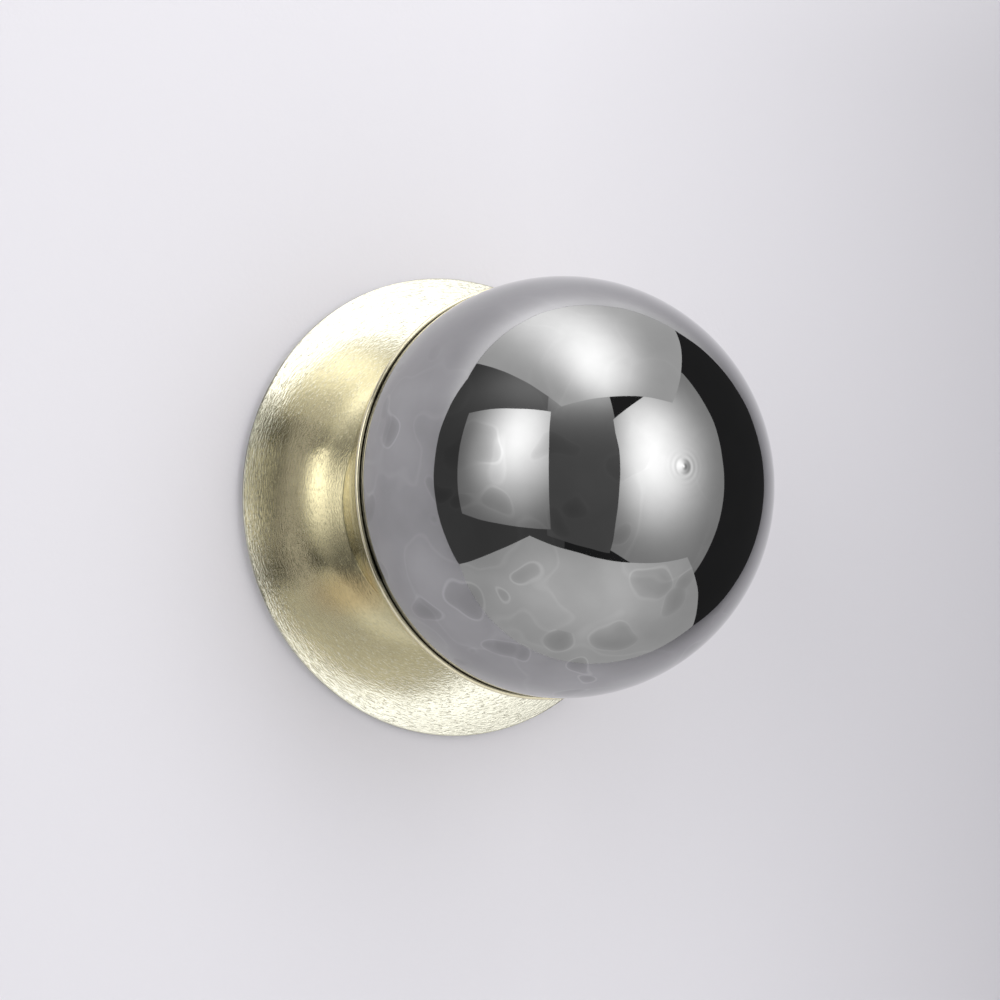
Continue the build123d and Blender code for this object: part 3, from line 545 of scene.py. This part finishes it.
def cup_outline():
    """Thin sheet from the foot, out and up the neck, round the rolled rim and back inside."""
    bead_at = CUP_IN + CUP_BEAD_R
    bead_back = math.acos((bead_at**2 + CUP_OUT**2 - CUP_BEAD_R**2) / (2 * bead_at * CUP_OUT))
    bead_centre = bowl(bead_at, CUP_RIM)
    meet = bowl(CUP_OUT, CUP_RIM - bead_back)
    bead_start = math.degrees(math.atan2(meet[1] - bead_centre[1], meet[0] - bead_centre[0]))
    bead_stop = 90.0 + math.degrees(CUP_RIM)
    bead = arc(bead_centre, CUP_BEAD_R, bead_start, bead_stop, 24)
    outer_side = cup_side(CUP_OUT, CUP_FOOT_R, CUP_NECK_TOP_R, CUP_RIM - bead_back)
    inner_top_r = CUP_NECK_TOP_R - CUP_T * NECK_SLANT
    inner_side = cup_side(CUP_IN, CUP_FOOT_R - CUP_T, inner_top_r, CUP_RIM)
    bend_r = CUP_FOOT_R - CUP_BEND_R
    bend = (bend_r, CUP_FOOT_H + CUP_BEND_R)
    inside_h = CUP_FOOT_H + CUP_T
    return (
        straight(PLATE_HOLE_R, CUP_FOOT_H, bend_r, CUP_FOOT_H, 6)
        + arc(bend, CUP_BEND_R, -90, 0, 8)
        + outer_side
        + bead[1:-1]
        + inner_side[::-1]
        + arc(bend, CUP_BEND_R - CUP_T, 0, -90, 4)
        + straight(bend_r - HAIR, inside_h, PLATE_HOLE_R, inside_h, 6)
    )


cup_finish = brass_material("spun brass cup", CUP_BRASS, strength=0.2, scratches=0.2, rough=0.10)
cup = turned("spun_cup", cup_outline(), cup_finish, "fixture")
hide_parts("globe_cup")


def tip_point(angle):
    """A point of the front near the sealed tip: a soft nipple with faint rings round it."""
    off = GLOBE_R * (math.pi - angle)
    nipple = PIP_RISE * math.exp(-((off / PIP_WIDTH) ** 2))
    rings = RING_RISE * math.cos(2 * math.pi * off / RING_STEP) * math.exp(-((off / RING_REACH) ** 2))
    return bowl(GLOBE_R + nipple + rings, angle)


def globe_outline():
    """Neck, ball and sealed tip outside, then the inside back to the neck's rounded lip."""
    inner_r = GLOBE_R - GLASS_T
    neck_angle = math.asin(NECK_R / GLOBE_R)
    bore_angle = math.asin(NECK_BORE / inner_r)
    pip_angle = math.asin(PIP_FIELD / GLOBE_R)
    lip_r = (NECK_R - NECK_BORE) / 2
    lip_h = NECK_END + lip_r
    return (
        straight(NECK_R, lip_h, NECK_R, GLOBE_H - GLOBE_R * math.cos(neck_angle), 10)
        + bowl_arc(GLOBE_R, neck_angle, math.pi - pip_angle, 130)
        + [tip_point(math.pi - pip_angle * (1 - i / PIP_STEPS)) for i in range(1, PIP_STEPS + 1)]
        + [bowl(inner_r, math.pi)]
        + bowl_arc(inner_r, math.pi, bore_angle, 48)
        + straight(NECK_BORE, GLOBE_H - inner_r * math.cos(bore_angle), NECK_BORE, lip_h, 8)
        + arc((NECK_BORE + lip_r, lip_h), lip_r, 180, 360, 12)
    )


globe = turned("mirror_globe", globe_outline(), finishes["smoke_glass"], "globe", GLOBE_SIDES)
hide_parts("glass_globe")


def thread_mesh():
    """Ridge that climbs round the globe's neck."""
    section = [
        (-THREAD_SINK, -THREAD_ROOT), (0.0, -THREAD_ROOT), (THREAD_RISE, -THREAD_CREST),
        (THREAD_RISE, THREAD_CREST), (0.0, THREAD_ROOT), (-THREAD_SINK, THREAD_ROOT),
    ]
    steps = 200
    ridge = bmesh.new()
    loops = []
    for i in range(steps + 1):
        turn = 2 * math.pi * THREAD_TURNS * i / steps
        h = THREAD_START + THREAD_PITCH * THREAD_TURNS * i / steps
        loops.append([ridge.verts.new(at(NECK_R + dr, h + dh, turn)) for dr, dh in section])
    for lower, upper in zip(loops, loops[1:]):
        for k in range(len(section)):
            j = (k + 1) % len(section)
            ridge.faces.new((lower[k], lower[j], upper[j], upper[k]))
    ridge.faces.new(loops[0])
    ridge.faces.new(loops[-1][::-1])
    bmesh.ops.recalc_face_normals(ridge, faces=ridge.faces)
    data = bpy.data.meshes.new("globe_thread")
    ridge.to_mesh(data)
    ridge.free()
    return data


thread = in_scene("globe_thread", thread_mesh(), finishes["smoke_glass"])
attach(thread, "globe")

# ------------------------------------------------------------------ studio
WALL_Y = 0.0006
WALL_HOLE_R = 0.066
LEFT, RIGHT = -0.46, 0.435
FLOOR_Z, CEILING_Z = -0.34, 0.48
FRONT = -0.46
WALL_PAINTED_SHADE = (0.03, 0.42)  # painted shade: darker to the right, between these places
WALL_PAINTED_LIGHT = (0.16, 0.46)  # painted light: brighter upwards, between these heights
BOUNCE_LIFT = 0.002
CEILING_LEFT, CEILING_RIGHT, CEILING_FRONT = -0.36, 0.42, -0.64


def one_sided(b, front):
    """Shows a surface from its front only, so that it hides nothing in other views."""
    facing = b.add("ShaderNodeNewGeometry").outputs["Backfacing"]
    clear = b.add("ShaderNodeBsdfTransparent").outputs[0]
    both = b.add("ShaderNodeMixShader", {0: facing, 1: front, 2: clear}).outputs[0]
    b.fill(b.tree.nodes["Material Output"].inputs[0], both)


def backdrop(name, tone, painted_shade_tone=None, painted_top_light=0.0):
    """Matt board or cloth with a fine tooth; it may grade to a painted shade to the right and glow with
    painted light at its top.
    """
    made, b, shader = material(name)
    place = b.place()
    x, y, z = b.split(place)
    tooth = b.noise(place, 900.0, 4.0)["Fac"]
    b.dress(
        shader,
        Base_Color=tone,
        Roughness=0.9,
        Specular_IOR_Level=0.1,
        Normal=b.bump(tooth, 0.25, 0.0002),
    )
    # painted shade: the board's colour grades darker towards the right
    if painted_shade_tone:
        near, far = WALL_PAINTED_SHADE
        across = b.add("ShaderNodeMapRange", {"Value": x, "From Min": near, "From Max": far})
        b.dress(shader, Base_Color=b.mix(across.outputs[0], tone, painted_shade_tone))
    # painted light: the board's top glows, brighter upwards
    if painted_top_light:
        glow = b.ease(z, *WALL_PAINTED_LIGHT, 0.0, painted_top_light)
        b.dress(shader, Emission_Color=(1, 1, 1), Emission_Strength=glow)
    one_sided(b, shader.outputs[0])
    return made


def panel(name, corners, finish):
    data = bpy.data.meshes.new(name)
    data.from_pydata([Vector(c) for c in corners], [], [tuple(range(len(corners)))])
    made = in_scene(name, data, finish)
    return made


def wall_board(finish):
    """Upright board with a round hole behind the plate, so that the lamp's back gets light too."""
    corners = [math.atan2(z, x) for x in (LEFT, RIGHT) for z in (FLOOR_Z, CEILING_Z)]
    turns = sorted([2 * math.pi * k / 96 - math.pi for k in range(96)] + corners)
    points = []
    for turn in turns:
        c, s = math.cos(turn), math.sin(turn)
        reach_x = (RIGHT if c > 0 else LEFT) / c if abs(c) > TINY else math.inf
        reach_z = (CEILING_Z if s > 0 else FLOOR_Z) / s if abs(s) > TINY else math.inf
        for reach in (WALL_HOLE_R, min(reach_x, reach_z)):
            points.append((reach * c, WALL_Y, reach * s))
    count = len(points)
    faces = [(i, i + 1, (i + 3) % count, (i + 2) % count) for i in range(0, count, 2)]
    data = bpy.data.meshes.new("wall")
    data.from_pydata(points, [], faces)
    made = in_scene("wall", data, finish)


# the wall board grades to a painted shade on its right and has painted light at its top
wall_board(backdrop("pale wall board", (0.79, 0.775, 0.82), (0.42, 0.41, 0.44), 0.6))
floor_corners = [
    (LEFT, FRONT, FLOOR_Z), (RIGHT, FRONT, FLOOR_Z), (RIGHT, WALL_Y, FLOOR_Z), (LEFT, WALL_Y, FLOOR_Z),
]
panel("floor", floor_corners, backdrop("pale floor", (0.80, 0.80, 0.81)))


def glow_material(name, low, high, centre, reach):
    """Cloth lit from behind: brightest at its centre, fading by its own reach to each side."""
    made = bpy.data.materials.new(name)
    made.use_nodes = True
    b = Nodes(made.node_tree)
    made.node_tree.nodes.remove(made.node_tree.nodes["Principled BSDF"])
    place = b.split(b.place())
    total = 0.0
    for axis in (0, 1):
        less, more = reach[axis]
        shift = b.math("SUBTRACT", place[axis], centre[axis])
        beyond = b.math("GREATER_THAN", shift, 0.0)
        width = b.math("MULTIPLY_ADD", beyond, more - less, less)
        share = b.math("DIVIDE", shift, width)
        total = b.math("MULTIPLY_ADD", share, share, total)
    fall = b.math("EXPONENT", b.math("MULTIPLY", total, -1.0))
    strength = b.math("MULTIPLY_ADD", fall, high - low, low)
    one_sided(b, b.add("ShaderNodeEmission", {"Strength": strength}).outputs[0])
    return made


def toward(az, el):
    """Direction from the globe, in degrees from straight ahead and up from level."""
    a, e = math.radians(az), math.radians(el)
    return Vector((math.sin(a) * math.cos(e), -math.cos(a) * math.cos(e), math.sin(e)))


def softbox(name, facing, distance, corners, low, high, glow, reach):
    """Lit cloth square to the direction it faces the globe from.

    Its corners and the middle of its glow are directions too, and the glow's reach is in
    degrees to the left, right, down and up of that middle.
    """
    ahead = toward(*facing)
    turn = ahead.to_track_quat("Z", "Y")

    def on_cloth(az, el):
        ray = toward(az, el)
        spot = turn.inverted() @ (ray * (distance / ray.dot(ahead)))
        return Vector((spot.x, spot.y, 0))

    az, el = glow
    left, right, down, up = reach
    centre = on_cloth(az, el)
    wide = (centre.x - on_cloth(az - left, el).x, on_cloth(az + right, el).x - centre.x)
    tall = (centre.y - on_cloth(az, el - down).y, on_cloth(az, el + up).y - centre.y)
    cloth = glow_material(name + " cloth", low, high, centre, (wide, tall))
    made = panel(name, [on_cloth(*c) for c in corners], cloth)
    made.location = GLOBE_CENTRE + ahead * distance
    made.rotation_euler = turn.to_euler()
    made.visible_camera = False


softbox(
    "left_softbox", facing=(-62, 5), distance=0.9,
    corners=[(-86, 31), (-38, 33), (-38, -27), (-86, -15)],
    low=0.34, high=3.0, glow=(-54, 18), reach=(19, 20, 26, 30),
)
softbox(
    "side_cloth", facing=(-66, 8), distance=1.1,
    corners=[(-104, 56), (-30, 58), (-30, -42), (-104, -36)],
    low=0.11, high=0.42, glow=(-52, 46), reach=(30, 30, 14, 14),
)
softbox(
    "right_softbox", facing=(30, 5), distance=0.9,
    corners=[(-3, 28), (61, 44), (61, -40), (-3, -36)],
    low=0.50, high=3.1, glow=(14, 10), reach=(16, 25, 27, 30),
)
softbox(
    "front_cloth", facing=(-18, 0), distance=1.0,
    corners=[(-40, 45), (-2, 45), (-2, -38), (-40, -30)],
    low=0.17, high=1.5, glow=(-15, 50), reach=(30, 30, 15, 15),
)
softbox(
    "rear_cloth", facing=(180, 5), distance=0.9,
    corners=[(135, 40), (225, 40), (225, -40), (135, -40)],
    low=0.5, high=1.3, glow=(180, 10), reach=(35, 35, 30, 30),
)

bounce_corners = [(LEFT, FRONT, 0), (RIGHT, FRONT, 0), (RIGHT, 0, 0), (LEFT, 0, 0)]
bounce_reach = ((0.30, 0.30), (0.30, 0.20))
bounce_glow = glow_material("bounce cloth", 0.75, 1.25, (0.0, -0.30), bounce_reach)
bounce = panel("bounce_cloth", bounce_corners, bounce_glow)
bounce.location = (0, 0, FLOOR_Z + BOUNCE_LIFT)
bounce.visible_camera = False

ceiling_corners = [
    (CEILING_LEFT, CEILING_FRONT, 0), (CEILING_LEFT, 0, 0),
    (CEILING_RIGHT, 0, 0), (CEILING_RIGHT, CEILING_FRONT, 0),
]
ceiling_reach = ((0.15, 0.17), (0.30, 0.42))
ceiling_glow = glow_material("ceiling cloth", 0.9, 2.9, (-0.03, -0.346), ceiling_reach)
ceiling = panel("ceiling", ceiling_corners, ceiling_glow)
ceiling.location = (0, 0, CEILING_Z)
ceiling.visible_camera = False

# world: nearly dark to the lamp, pale behind it in the picture
world = bpy.data.worlds.new("studio")
bpy.context.scene.world = world
world.use_nodes = True
b = Nodes(world.node_tree)
dark = world.node_tree.nodes["Background"]
b.dress(dark, Color=(0.035, 0.035, 0.036), Strength=1.0)
pale = b.add("ShaderNodeBackground", {"Color": (0.80, 0.79, 0.82), "Strength": 1.0})
seen = b.add("ShaderNodeLightPath").outputs["Is Camera Ray"]
sky = b.add("ShaderNodeMixShader", {0: seen, 1: dark.outputs[0], 2: pale.outputs[0]})
b.fill(world.node_tree.nodes["World Output"].inputs[0], sky.outputs[0])

# camera: the photograph's viewing angle
CAMERA_AZIMUTH, CAMERA_ELEVATION = -29.31, -5.45
CAMERA_DISTANCE = 0.573
CAMERA_AIM = Vector((0.0165, 0.0, 0.0026))
CAMERA_FOCAL = 64.26
away = toward(CAMERA_AZIMUTH, CAMERA_ELEVATION)
lens = bpy.data.cameras.new("camera")
lens.sensor_width = 36
lens.lens = CAMERA_FOCAL
lens.clip_start = 0.01
lens.clip_end = 20
camera = bpy.data.objects.new("camera", lens)
camera.location = CAMERA_AIM + away * CAMERA_DISTANCE
camera.rotation_euler = away.to_track_quat("Z", "Y").to_euler()
bpy.context.scene.collection.objects.link(camera)
bpy.context.scene.camera = camera
bpy.context.scene.view_settings.view_transform = "Standard"
